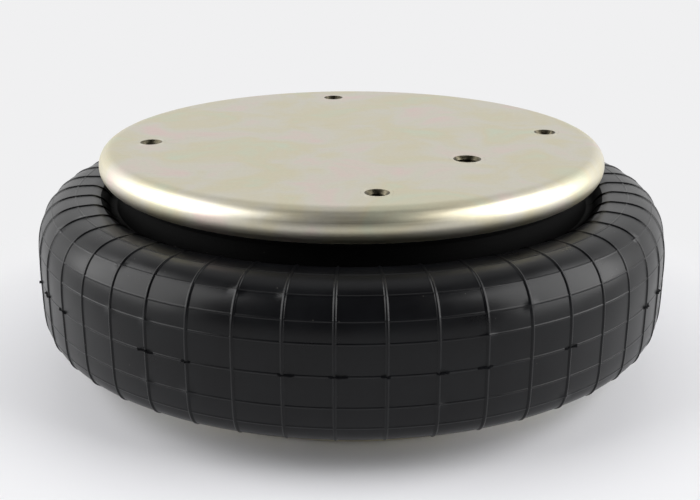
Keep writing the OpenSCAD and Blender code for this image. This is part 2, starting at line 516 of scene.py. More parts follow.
@dataclass(frozen=True)
class WhiteTable(Finish):
    """White laminate of a studio table, matt, which keeps the part's shadow and runs out into a backdrop.

    Attributes:
        tone_patch_mm: Width of the patches in which its white varies.
        near_m: Distance from the part at which the table starts to run out.
        far_m: Distance at which it has done so.
        backdrop: Colour of the backdrop.
    """

    tone_patch_mm: float = 400.0
    near_m: float = 0.18
    far_m: float = 0.31
    backdrop: str = "#F0F0F1"

    def dress(self, tree: bpy.types.NodeTree, shader: Any, place: Any) -> None:
        """Sets up the laminate and, for what the camera and the metal see far off, the backdrop.

        Args:
            tree: The material's node tree.
            shader: Its principled shader.
            place: The position in the frame, in metres.
        """
        tone = add_node(
            tree, "ShaderNodeTexNoise", {"Vector": place, "Scale": per_mm(self.tone_patch_mm), "Detail": 2.0}
        )
        colours = add_node(tree, "ShaderNodeValToRGB", {"Fac": tone.outputs["Fac"]})
        set_ramp(colours, [(0.2, "#EEEEF1"), (0.8, "#F1F1F4")])
        tree.links.new(colours.outputs["Color"], shader.inputs["Base Color"])
        shader.inputs["Roughness"].default_value = 0.55
        distance = add_node(tree, "ShaderNodeVectorMath", {0: place}, operation="LENGTH")
        far = add_node(
            tree, "ShaderNodeMapRange",
            {"Value": distance.outputs["Value"], "From Min": self.near_m, "From Max": self.far_m},
            interpolation_type="SMOOTHSTEP",
        )
        ray = add_node(tree, "ShaderNodeLightPath").outputs
        seen = add_node(
            tree, "ShaderNodeMath", {0: ray["Is Camera Ray"], 1: ray["Is Glossy Ray"]}, operation="MAXIMUM"
        )
        share = add_node(
            tree, "ShaderNodeMath", {0: far.outputs["Result"], 1: seen.outputs["Value"]}, operation="MULTIPLY"
        )
        pale = add_node(tree, "ShaderNodeEmission", {"Color": linear(self.backdrop), "Strength": 1.0})
        mixed = add_node(
            tree, "ShaderNodeMixShader",
            {0: share.outputs["Value"], 1: shader.outputs["BSDF"], 2: pale.outputs["Emission"]},
        )
        tree.links.new(mixed.outputs["Shader"], tree.nodes["Material Output"].inputs["Surface"])


ZINC = ZincPlatedSteel("zinc_plated_sheet_passivated")
THREAD_AND_BORE_SHADE = TappedSteel("steel_tapped_oiled_and_bore_shade")
COVER = MouldedRubber("chloroprene_rubber_moulded")
# Torn rubber has no moulded skin, so it is matt.
TORN = MouldedRubber("chloroprene_rubber_torn", skin_roughness=0.7, gloss=0.04)
# In the undercut below the rim the mould isn't polished, so the rubber is matt there; its colour is painted
# near black as painted shade under the rim, and it takes no bloom.
UNDERCUT_PAINTED_SHADE = MouldedRubber(
    "chloroprene_rubber_undercut_painted_shade", skin_roughness=0.6, gloss=0.03, deep="#030303", pale="#060606"
)
LINER = MouldedRubber("chloroprene_rubber_calendered", skin_roughness=0.5)
OUTER_CORD = CordFabric("nylon_cord_rubberised_right")
INNER_CORD = CordFabric("nylon_cord_rubberised_left", turned=-0.9)
WIRE = BronzedWire("steel_bead_wire_bronzed")
TABLE = WhiteTable("white_laminate_matt")


def new_object(name: str, mesh: bpy.types.Mesh, finish: Finish, sharp_deg: float = 38.0) -> bpy.types.Object:
    """Links a mesh into the scene with its finish, smooth but for its sharp edges.

    Args:
        name: The piece's name.
        mesh: Its mesh.
        finish: Its finish.
        sharp_deg: Edges that turn more than this stay sharp.

    Returns:
        The new object.
    """
    mesh.name = name
    mesh.shade_smooth()
    mesh.set_sharp_from_angle(angle=math.radians(sharp_deg))
    mesh.materials.clear()
    mesh.materials.append(finish.material())
    piece = bpy.data.objects.new(name, mesh)
    bpy.context.scene.collection.objects.link(piece)
    return piece


def mesh_of(builder: bmesh.types.BMesh, name: str) -> bpy.types.Mesh:
    """Turns a builder's faces outward and makes its mesh.

    Args:
        builder: The mesh being built, which is used up.
        name: The mesh's name.

    Returns:
        The mesh.
    """
    bmesh.ops.recalc_face_normals(builder, faces=builder.faces)
    mesh = bpy.data.meshes.new(name)
    builder.to_mesh(mesh)
    builder.free()
    return mesh


def skin(builder: bmesh.types.BMesh, rings: list[list[Any]]) -> None:
    """Joins rings of vertices, each to the next, with faces.

    Args:
        builder: The mesh being built.
        rings: Rings with as many vertices each.
    """
    for low, high in zip(rings, rings[1:]):
        for k in range(len(low)):
            following = (k + 1) % len(low)
            builder.faces.new((low[k], low[following], high[following], high[k]))


def turned_mesh(
    name: str, radius: np.ndarray, height: np.ndarray, angle: np.ndarray, closing: Closing
) -> bpy.types.Mesh:
    """Makes a closed mesh from rows of points round the Z axis.

    Args:
        name: The mesh's name.
        radius: Radius of each row and column, in metres.
        height: Height of each row and column, in metres.
        angle: Angle of each column, in radians.
        closing: How the first and last rows are closed.

    Returns:
        The mesh, with its faces turned outward.
    """
    rows, columns = radius.shape
    points = np.stack([radius * np.cos(angle), radius * np.sin(angle), height], axis=-1)
    builder = bmesh.new()
    rings = []
    for row in range(rows):
        pole = closing is Closing.AXIS and row in (0, rows - 1)
        ring = [builder.verts.new(p) for p in (points[row, :1] if pole else points[row])]
        rings.append(ring)
    pairs = list(zip(rings, rings[1:]))
    if closing is Closing.LOOP:
        pairs.append((rings[-1], rings[0]))
    for low, high in pairs:
        for column in range(columns):
            following = (column + 1) % columns
            lower = [low[column % len(low)], low[following % len(low)]]
            upper = [high[following % len(high)], high[column % len(high)]]
            builder.faces.new(list(dict.fromkeys(lower + upper)))
    return mesh_of(builder, name)


@dataclass(frozen=True)
class WallSizes:
    """Sizes that the construction and the looks share, in millimetres.

    Attributes:
        rest_h: Height over both plates.
        plate_d: Diameter of the plates.
        bellows_d: Largest diameter of the bellows.
        sag: How far the parting line lies below the middle.
        sheet_t: Thickness of the plates' sheet.
        shoulder_run: How far the shoulder's crest lies outside the plates.
        liner_t: Thickness of the liner.
        ply_t: Thickness of a ply.
        cover_t: Thickness of the cover.
        core_d: Diameter of a bead core over its wires.
        bead_play: Clearance between a bead and the sheet rolled round it.
    """

    rest_h: float
    plate_d: float
    bellows_d: float
    sag: float = 5.0
    sheet_t: float = 2.5
    shoulder_run: float = 6.5
    liner_t: float = 1.2
    ply_t: float = 0.8
    cover_t: float = 1.6
    core_d: float = 7.3
    bead_play: float = 0.3

    @property
    def bead_r(self) -> float:
        """Radius of a bead."""
        return self.core_d / 2 + 2 * self.ply_t + self.liner_t

    @property
    def roll_r(self) -> float:
        """Inside radius of the rolled rim."""
        return self.bead_r + self.bead_play

    @property
    def rim_r(self) -> float:
        """Outside radius of the rolled rim."""
        return self.roll_r + self.sheet_t

    @property
    def rim_h(self) -> float:
        """Height of the rolled rim."""
        return 2 * self.rim_r

    @property
    def bead_circle_r(self) -> float:
        """Radius of the circle on which the bead's centre lies."""
        return self.plate_d / 2 - self.rim_r

    @property
    def mid_h(self) -> float:
        """Height of the moulding's parting line."""
        return self.rest_h / 2 - self.sag

    @property
    def neck_r(self) -> float:
        """Radius of the neck's outer face."""
        return self.bead_circle_r + self.cover_t - self.core_d / 2

    @classmethod
    def from_frame(cls) -> "WallSizes":
        """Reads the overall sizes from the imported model.

        Returns:
            The sizes.
        """
        plate_low, plate_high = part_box("top_bead_plate")
        cover_low, cover_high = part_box("outer_cover")
        return cls(
            rest_h=round(plate_high.z / MM, 2),
            plate_d=round((plate_high.x - plate_low.x) / MM, 1),
            bellows_d=round((cover_high.x - cover_low.x) / MM, 1),
        )


@dataclass(frozen=True)
class Meridian:
    """One half of the bellows' outer face in section, from the parting line to the neck inside the rim.

    Heights count from the parting line towards the half's plate.

    Attributes:
        sizes: Sizes of the wall.
        half_h: Height from the parting line to the plate's outer face.
        gap: Clear height between the rim and the wall.
        hollow_r: Radius of the hollow at the neck.
        squareness: Exponent of the convolution, where 2 is an ellipse.
        slope_deg: Slope of the shoulder's inner side, down into the hollow.
    """

    sizes: WallSizes
    half_h: float
    gap: float
    hollow_r: float
    squareness: float
    slope_deg: float
    dense_steps: int = 1500
    shoulder_steps: int = 62
    hollow_steps: int = 90
    tangent_step: float = 0.05

    @classmethod
    def of(cls, sizes: WallSizes, side: Side) -> "Meridian":
        """Gives the section of one half, of which the lower one sags flat over its rim.

        Args:
            sizes: Sizes of the wall.
            side: The end that the half belongs to.

        Returns:
            The section.
        """
        if side is Side.TOP:
            half_h = sizes.rest_h - sizes.mid_h
            return cls(sizes, half_h, gap=7.0, hollow_r=4.0, squareness=3.0, slope_deg=60.0)
        return cls(sizes, sizes.mid_h, gap=0.8, hollow_r=0.8, squareness=5.4, slope_deg=0.0)

    def points(self, inset: float) -> np.ndarray:
        """Computes the section.

        Args:
            inset: Distance below the outer face, in millimetres.

        Returns:
            Radius and height of each point, in millimetres, from the parting line on.
        """
        s = self.sizes
        crest_r = s.plate_d / 2 + s.shoulder_run
        crest_h = self.half_h - s.rim_h - self.gap
        half = np.array([s.bellows_d / 2 - crest_r, crest_h])
        t = np.linspace(0.0, math.pi / 2, self.dense_steps)
        turn = np.stack([np.cos(t), np.sin(t)], axis=-1).clip(0.0)
        face = np.array([crest_r, 0.0]) + half * turn ** (2 / self.squareness)
        normal = turn ** (2 - 2 / self.squareness) / half
        normal /= np.linalg.norm(normal, axis=1, keepdims=True)
        slope = math.radians(self.slope_deg)
        shoulder_r = (crest_r - s.neck_r - self.hollow_r) / math.sin(slope) - self.hollow_r if slope else 0.0
        shoulder_h = crest_h - shoulder_r
        hollow_h = shoulder_h + (self.hollow_r + shoulder_r) * math.cos(slope)
        edge = np.linspace(0.0, slope, self.shoulder_steps)[1:-1] + math.pi / 2 if slope else np.empty(0)
        edge_turn = np.stack([np.cos(edge), np.sin(edge)], axis=-1)
        shoulder = (crest_r, shoulder_h) + (shoulder_r - inset) * edge_turn
        arc = np.linspace(1.5 * math.pi + slope, math.pi, self.hollow_steps)
        arc_turn = np.stack([np.cos(arc), np.sin(arc)], axis=-1)
        hollow = (s.neck_r + self.hollow_r, hollow_h) + (self.hollow_r + inset) * arc_turn
        neck_end = np.array([[s.neck_r - inset, self.half_h - s.rim_h + s.sheet_t]])
        return np.concatenate([face - inset * normal, shoulder, hollow, neck_end])

    def at(self, arcs: np.ndarray) -> np.ndarray:
        """Finds points of the outer face.

        Args:
            arcs: Distances along the section from the parting line, in millimetres.

        Returns:
            Radius and height of each point, in millimetres.
        """
        dense = self.points(0.0)
        along = np.concatenate([[0.0], np.cumsum(np.linalg.norm(np.diff(dense, axis=0), axis=1))])
        return np.stack([np.interp(arcs, along, dense[:, axis]) for axis in (0, 1)], axis=-1)

    def sampled(self, arcs: np.ndarray) -> tuple[np.ndarray, np.ndarray]:
        """Places points along the outer face.

        Args:
            arcs: Distances along the section from the parting line, in millimetres.

        Returns:
            The points, and the outward normals there.
        """
        ahead = self.at(np.minimum(arcs + self.tangent_step, self.length()))
        tangent = ahead - self.at(np.maximum(arcs - self.tangent_step, 0.0))
        tangent[arcs <= 0.0] = (0.0, 1.0)
        tangent /= np.linalg.norm(tangent, axis=1, keepdims=True)
        return self.at(arcs), np.stack([tangent[:, 1], -tangent[:, 0]], axis=-1)

    def length(self) -> float:
        """Returns the section's length in millimetres."""
        return float(np.linalg.norm(np.diff(self.points(0.0), axis=0), axis=1).sum())


@dataclass(frozen=True)
class MouldPattern:
    """The low beads that the mould's parting and venting leave on the cover, in millimetres.

    Attributes:
        rib_count: Ribs that run from neck to neck.
        rib_phase_deg: Angle of the first rib.
        ring_arcs: Distances of the rings from the parting line, along the section.
        nub_count: Small nubs in each half, where a rib crosses a ring.
        wave_count: Slow waves that the wall's unevenness is made of.
        wave_h: Height of all of them together.
        wave_turns: Least and most crests of a wave in one turn of the wall.
        wave_slope: Most that a wave leans, in radians for each millimetre along the section.
        panel_columns: Columns of the mesh between two ribs.
        panel_rows: Rows of the mesh between two rings.
        neck_rows: Rows from the last ring to the end of the neck.
    """

    rib_count: int = 48
    rib_phase_deg: float = 6.4
    rib_w: float = 1.8
    rib_h: float = 0.6
    ring_arcs: tuple[float, ...] = (15.5, 26.0, 37.3, 52.0)
    ring_w: float = 1.1
    ring_h: float = 0.20
    parting_w: float = 1.2
    parting_h: float = 0.20
    nub_count: int = 26
    nub_r: float = 1.3
    nub_h: float = 0.7
    wave_count: int = 6
    wave_h: float = 0.10
    wave_turns: tuple[int, int] = (5, 40)
    wave_slope: float = 0.08
    panel_columns: int = 4
    panel_rows: int = 5
    neck_rows: int = 60

    # Rows or columns across a bead, in half widths, and how far its flanks are hollowed.
    BEAD_STEPS = (-1.4, -1.0, -0.75, -0.4, 0.0, 0.4, 0.75, 1.0, 1.4)
    BEAD_HOLLOW = 0.35

    def columns(self, radius: float) -> np.ndarray:
        """Angles of the mesh's columns, close together on each rib.

        Args:
            radius: Largest radius of the bellows, in millimetres.

        Returns:
            Rising angles in radians, over one turn.
        """
        pitch = 2 * math.pi / self.rib_count
        half = self.rib_w / 2 / radius
        rib = half * np.array(self.BEAD_STEPS)
        panel = np.linspace(rib[-1], pitch + rib[0], self.panel_columns + 2)[1:-1]
        one = np.concatenate([rib, panel])
        starts = math.radians(self.rib_phase_deg) + pitch * np.arange(self.rib_count)
        return (starts[:, None] + one[None, :]).ravel()

    def rows(self, length: float) -> np.ndarray:
        """Distances of the mesh's rows from the parting line, close together on each ring.

        Args:
            length: Length of the section, in millimetres.

        Returns:
            Rising distances in millimetres.
        """
        steps = np.array(self.BEAD_STEPS)
        beads = [self.parting_w / 2 * steps[steps >= 0]]
        beads += [arc + self.ring_w / 2 * steps for arc in self.ring_arcs]
        rows = list(beads[0])
        for bead in beads[1:]:
            rows += list(np.linspace(rows[-1], bead[0], self.panel_rows + 2)[1:-1]) + list(bead)
        rows += list(np.linspace(rows[-1], length, self.neck_rows)[1:])
        return np.array(rows)

    def relief(
        self, arcs: np.ndarray, angles: np.ndarray, radius: float, rng: np.random.Generator
    ) -> np.ndarray:
        """Computes how far the pattern stands proud of the smooth face.

        Args:
            arcs: Distances of the rows from the parting line.
            angles: Angles of the columns.
            radius: Largest radius of the bellows.
            rng: Source of the irregularities.

        Returns:
            Heights in millimetres, by row and column.
        """
        pitch = 2 * math.pi / self.rib_count
        turned = (angles - math.radians(self.rib_phase_deg) + pitch / 2) % pitch - pitch / 2
        rib = self.rib_h * self.bead(turned * radius, self.rib_w)[None, :]
        ring = self.parting_h * self.bead(arcs, self.parting_w)
        for arc in self.ring_arcs:
            ring = np.maximum(ring, self.ring_h * self.bead(arcs - arc, self.ring_w))
        relief = np.maximum(rib, ring[:, None])
        for _ in range(self.nub_count):
            at_arc = rng.choice(self.ring_arcs)
            at_angle = math.radians(self.rib_phase_deg) + pitch * rng.integers(self.rib_count)
            apart = (angles - at_angle + math.pi) % (2 * math.pi) - math.pi
            distance = np.hypot((arcs - at_arc)[:, None], (apart * radius)[None, :])
            relief = np.maximum(relief, self.nub_h * self.bead(distance, 2 * self.nub_r))
        for _ in range(self.wave_count):
            turns = rng.integers(*self.wave_turns)
            phase = rng.uniform(0, 2 * math.pi)
            slope = rng.uniform(-self.wave_slope, self.wave_slope)
            wave = np.cos(turns * angles[None, :] + slope * arcs[:, None] + phase)
            relief = relief + self.wave_h / self.wave_count * wave * (arcs > self.parting_w)[:, None]
        return relief

    @classmethod
    def bead(cls, offset: np.ndarray, width: float) -> np.ndarray:
        """Returns a round bead of unit height and this width over the offsets."""
        inside = np.clip(np.abs(offset) / (width / 2), 0.0, 1.0)
        return np.sqrt(1.0 - inside**2) * (1.0 - cls.BEAD_HOLLOW * inside**2)


@dataclass(frozen=True)
class BellowsWall:
    """The rubber wall: a moulded cover over two cord plies and a liner, each in an upper and a lower half.

    The halves meet at the parting line. All lengths are in millimetres.

    Attributes:
        sizes: Sizes of the wall.
        pattern: Beads on the cover.
        rib_runout: How far inside the plate's edge the ribs run out.
        inner_rows: Rows of the cover's inner face for the convolution alone.
        weld: Points of a layer closer than this are one.
        flash_missing: Share of the ribs without a rag of flash.
        flash_length: Least and greatest length of a rag.
        flash_shift: Most that a rag lies off its rib.
        flash_points: Points along a rag.
        flash_least_h: Height that every rag has.
        flash_h: Most that is added to it.
        flash_end_h: Height at a rag's two ends.
        flash_foot_t: Thickness at the foot.
        flash_tip_t: Thickness at the tip.
        flash_lean: Most that a tip leans.
        flash_stand: How far the foot stands off the smooth face, on the parting bead.
    """

    sizes: WallSizes
    pattern: MouldPattern
    rib_runout: float = 8.0
    inner_rows: int = 30
    weld: float = 0.001
    flash_missing: float = 0.25
    flash_length: tuple[float, float] = (4.0, 11.0)
    flash_shift: float = 2.5
    flash_points: int = 7
    flash_least_h: float = 0.25
    flash_h: float = 1.3
    flash_end_h: float = 0.3
    flash_foot_t: float = 1.2
    flash_tip_t: float = 0.48
    flash_lean: float = 0.3
    flash_stand: float = 0.05

    def bend(self, piece: bpy.types.Object, side: Side) -> None:
        """Bakes a half wall's place into its mesh and logs its size.

        Args:
            piece: The half wall.
            side: The end that it belongs to.
        """
        if side is Side.TOP:
            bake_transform(piece)
        else:
            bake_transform(piece)
        LOG.info("wall half %s: %d vertices", piece.name, len(piece.data.vertices))

    def cover_half(self, side: Side) -> bpy.types.Object:
        """Builds one half of the cover with its ribs and rings.

        Args:
            side: The end that it belongs to.

        Returns:
            The half cover.
        """
        rng = np.random.default_rng(SEED + list(Side).index(side))
        meridian = Meridian.of(self.sizes, side)
        radius = self.sizes.bellows_d / 2
        arcs = self.pattern.rows(meridian.length())
        angles = self.pattern.columns(radius)
        face, normal = meridian.sampled(arcs)
        rim_r = self.sizes.plate_d / 2
        ending = np.clip(1.0 + (face[:, :1] - rim_r) / self.rib_runout, 0.0, 1.0)
        lift = ending * self.pattern.relief(arcs, angles, radius, rng)
        outer_r = face[:, :1] + normal[:, :1] * lift
        outer_z = face[:, 1:] + normal[:, 1:] * lift
        inner = meridian.points(self.sizes.cover_t)[:: meridian.dense_steps // self.inner_rows][::-1]
        inner = np.concatenate([[[self.sizes.neck_r - self.sizes.cover_t, face[-1, 1]]], inner])
        wide = np.ones((1, len(angles)))
        rows_r = np.concatenate([outer_r, inner[:, :1] * wide])
        rows_z = np.concatenate([outer_z, inner[:, 1:] * wide])
        rows_z = self.sizes.mid_h + (rows_z if side is Side.TOP else -rows_z)
        name = f"{side.value}_cover_half"
        mesh = turned_mesh(name, rows_r * MM, rows_z * MM, angles, Closing.LOOP)
        piece = new_object(name, mesh, COVER, sharp_deg=70.0)
        mesh.materials.append(UNDERCUT_PAINTED_SHADE.material())
        # Faces inside the rim's radius take the undercut finish, whose near-black colour is painted shade
        # under the rim.
        for polygon in mesh.polygons:
            if polygon.center.xy.length < rim_r * MM:
                polygon.material_index = 1
        self.bend(piece, side)
        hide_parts("outer_cover")
        return piece

    def layer_half(
        self, node: str, finish: Finish, side: Side, nodes: dict[str, Any]
    ) -> bpy.types.Object:
        """Cuts one half out of an inner layer of the frame.

        Args:
            node: The layer's node.
            finish: Its finish.
            side: The end that the half belongs to.
            nodes: The frame's nodes.

        Returns:
            The half layer.
        """
        builder = bmesh.new()
        builder.from_mesh(nodes[node].data)
        bmesh.ops.remove_doubles(builder, verts=builder.verts, dist=self.weld * MM)
        everything = [*builder.verts, *builder.edges, *builder.faces]
        cut = bmesh.ops.bisect_plane(
            builder, geom=everything, plane_co=(0.0, 0.0, self.sizes.mid_h * MM), plane_no=(0.0, 0.0, 1.0),
            clear_inner=side is Side.TOP, clear_outer=side is Side.BASE,
        )
        edges = [e for e in cut["geom_cut"] if isinstance(e, bmesh.types.BMEdge)]
        bmesh.ops.bridge_loops(builder, edges=edges)
        name = f"{side.value}_{node}_half"
        piece = new_object(name, mesh_of(builder, name), finish)
        self.bend(piece, side)
        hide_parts(node)
        return piece

    def rag(self, centre: float, length: float, heights: np.ndarray, lean: np.ndarray) -> list[list[Vector]]:
        """Works out one rag of flash.

        Args:
            centre: Angle of its middle, in radians.
            length: Its length.
            heights: Its height at each point along it.
            lean: How far its tip leans at each point.

        Returns:
            Four corners at each point along it, in metres.
        """
        radius = self.sizes.bellows_d / 2 + self.flash_stand
        foot, tip = self.flash_foot_t / 2, self.flash_tip_t / 2
        rings = []
        for along, height, tilt in zip(np.linspace(-0.5, 0.5, self.flash_points), heights, lean):
            angle = centre + along * length / radius
            around = (math.cos(angle), math.sin(angle))
            corners = [(0.0, -foot), (height, tilt - tip), (height, tilt + tip), (0.0, foot)]
            rings.append([
                Vector(((radius + out) * around[0], (radius + out) * around[1], self.sizes.mid_h + up)) * MM
                for out, up in corners
            ])
        return rings

    def flash(self) -> bpy.types.Object:
        """Builds the torn rags of moulding flash that stand on the parting line by the ribs.

        Returns:
            All of the rags, as one piece.
        """
        rng = np.random.default_rng(SEED)
        builder = bmesh.new()
        radius = self.sizes.bellows_d / 2 + self.flash_stand
        pitch = 2 * math.pi / self.pattern.rib_count
        for rib in range(self.pattern.rib_count):
            missing = rng.random()
            length = rng.uniform(*self.flash_length)
            shift = rng.uniform(-self.flash_shift, self.flash_shift)
            heights = self.flash_least_h + self.flash_h * rng.uniform(0.15, 1.0, self.flash_points)
            lean = rng.uniform(-self.flash_lean, self.flash_lean, self.flash_points)
            if missing < self.flash_missing:
                continue
            heights[[0, -1]] = self.flash_end_h
            centre = math.radians(self.pattern.rib_phase_deg) + pitch * rib + shift / radius
            rings = [[builder.verts.new(p) for p in ring] for ring in self.rag(centre, length, heights, lean)]
            skin(builder, rings)
            builder.faces.new(rings[0])
            builder.faces.new(rings[-1])
        name = "moulding_flash"
        piece = new_object(name, mesh_of(builder, name), TORN)
        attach(piece, "wall")
        LOG.info("flash %s: %d vertices", name, len(piece.data.vertices))
        return piece

    def build(self, nodes: dict[str, Any]) -> None:
        """Builds both halves of every layer.

        Args:
            nodes: The frame's nodes.
        """
        layers = (
            ("outer_ply", OUTER_CORD, "cord_fabric"),
            ("inner_ply", INNER_CORD, "cord_fabric"),
            ("inner_liner", LINER, "liner_rubber"),
        )
        for side in Side:
            self.cover_half(side)
            for node, finish, slot in layers:
                self.layer_half(node, finish, side, nodes)
            core = nodes[f"{side.prefix}_bead_core"]
            core.data.materials.clear()
            core.data.materials.append(WIRE.material())
            LOG.info("core %s", core.name)
        self.flash()


@dataclass(frozen=True)
class NutSizes:
    """Sizes of a nut pressed into a plate, in millimetres.

    Attributes:
        neck_d: Diameter of the neck that fills the plate's hole.
        barrel_d: Diameter of the barrel behind the plate.
        length: Length over all.
        bore_d: Diameter of the tapping bore.
        bore_depth: Depth of the bore, past the length where it goes right through.
        mouth_d: Diameter of the chamfer at the bore's mouth.
        thread_d: Diameter of the thread's roots.
        thread_pitch: Pitch of the thread.
        flange_ledge: How far the flange stands out.
        flange_t: Thickness of the flange.
        edge: Bevel of the flange and the barrel.
        face_edge: Bevel of the neck at the plate's face.
    """

    neck_d: float
    barrel_d: float
    length: float
    bore_d: float
    bore_depth: float
    mouth_d: float
    thread_d: float
    thread_pitch: float
    flange_ledge: float = 3.0
    flange_t: float = 2.5
    edge: float = 0.3
    face_edge: float = 0.04

    @property
    def is_blind(self) -> bool:
        """Whether the bore ends inside the nut."""
        return self.bore_depth < self.length

    @property
    def flange_d(self) -> float:
        """Diameter of the flange."""
        return max(self.neck_d, self.barrel_d) + 2 * self.flange_ledge


BLIND_NUT = NutSizes(
    neck_d=16.0, barrel_d=17.0, length=17.5, bore_d=8.5,
    bore_depth=14.0, mouth_d=12.4, thread_d=10.0, thread_pitch=1.5,
)
INLET_NUT = NutSizes(
    neck_d=19.0, barrel_d=20.0, length=16.0, bore_d=11.4,
    bore_depth=17.0, mouth_d=15.0, thread_d=13.1, thread_pitch=1.34,
)


@dataclass(frozen=True)
class PlateNut:
    """A nut with a real thread, flush with the outer face of its plate.

    Attributes:
        sizes: Sizes of the nut.
        sheet_t: Thickness of the plate.
        flank_slope: Steepness of the thread's flanks.
        crest_flat: Flat left on the thread's crests.
        end_wall: Length at the barrel's end that keeps the plating.
    """

    sizes: NutSizes
    sheet_t: float
    flank_slope: float = 1.7
    crest_flat: float = 0.35
    end_wall: float = 1.0
    segments: int = 48
    rows_per_turn: int = 8

    def mesh(self, name: str) -> bpy.types.Mesh:
        """Turns the nut about Z, with its mouth at height zero and its barrel below.

        Args:
            name: The mesh's name.

        Returns:
            The mesh, in metres.
        """
        n = self.sizes
        chamfer = (n.mouth_d - n.bore_d) / 2
        floor = -min(n.bore_depth, n.length)
        turns = (-chamfer - floor) / n.thread_pitch
        thread_z = np.linspace(floor + n.edge, -chamfer, int(turns * self.rows_per_turn))
        angle = np.linspace(0.0, 2 * math.pi, self.segments, endpoint=False)
        phase = (thread_z[:, None] / n.thread_pitch - angle[None, :] / (2 * math.pi)) % 1.0
        flank = self.flank_slope * np.abs(2 * phase - 1) - self.crest_flat
        groove = np.clip(flank, 0.0, 1.0) * (n.thread_d - n.bore_d) / 2
        fade = np.clip((thread_z - thread_z[0]) / n.thread_pitch, 0.0, 1.0)[:, None]
        thread_r = n.bore_d / 2 + groove * fade
        neck_low = -self.sheet_t
        flange_low = neck_low - n.flange_t
        outside = [
            (n.mouth_d / 2, 0.0),
            (n.neck_d / 2 - n.face_edge, 0.0),
            (n.neck_d / 2, -n.face_edge),
            (n.neck_d / 2, neck_low),
            (n.flange_d / 2 - n.edge, neck_low),
            (n.flange_d / 2, neck_low - n.edge),
            (n.flange_d / 2, flange_low + n.edge),
            (n.flange_d / 2 - n.edge, flange_low),
            (n.barrel_d / 2, flange_low),
            (n.barrel_d / 2, -n.length + 2 * n.edge),
            (n.barrel_d / 2 - 2 * n.edge, -n.length),
        ]
        inside = [(n.bore_d / 2, floor)]
        if n.is_blind:
            inside = [(0.0, floor), (n.bore_d / 2 - n.edge, floor)]
            outside.append((0.0, -n.length))
        wide = np.ones((1, self.segments))
        inside, outside = np.array(inside), np.array(outside)
        radius = np.concatenate([inside[:, :1] * wide, thread_r, outside[:, :1] * wide])
        height = np.concatenate([inside[:, 1:] * wide, thread_z[:, None] * wide, outside[:, 1:] * wide])
        closing = Closing.AXIS if n.is_blind else Closing.LOOP
        return turned_mesh(name, radius * MM, height * MM, angle, closing)

    def place(self, name: str, side: Side, spot: tuple[float, float], height: float) -> bpy.types.Object:
        """Builds the nut where its plate holds it.

        Args:
            name: The node that it replaces.
            side: The plate that holds it.
            spot: Its place on the plate, in millimetres.
            height: Height of the plate's outer face, in millimetres.

        Returns:
            The nut.
        """
        mesh = self.mesh(f"{name}_threaded")
        mesh.transform(side.facing(Vector((*spot, height))))
        piece = new_object(f"{name}_threaded", mesh, ZINC)
        mesh.materials.append(THREAD_AND_BORE_SHADE.material())
        # The bore, its thread and its mouth's chamfer take the darker finish, partly as painted shade inside
        # the bore.
        axis = Vector(spot) * MM
        for face in mesh.polygons:
            in_mouth = (face.center.xy - axis).length < self.sizes.mouth_d / 2 * MM
            depth = abs(face.center.z - height * MM)
            if in_mouth and depth < (self.sizes.length - self.end_wall) * MM:
                face.material_index = 1
        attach(piece, side.value)
        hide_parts(name)
        LOG.info("nut %s at %.1f, %.1f mm", name, *spot)
        return piece


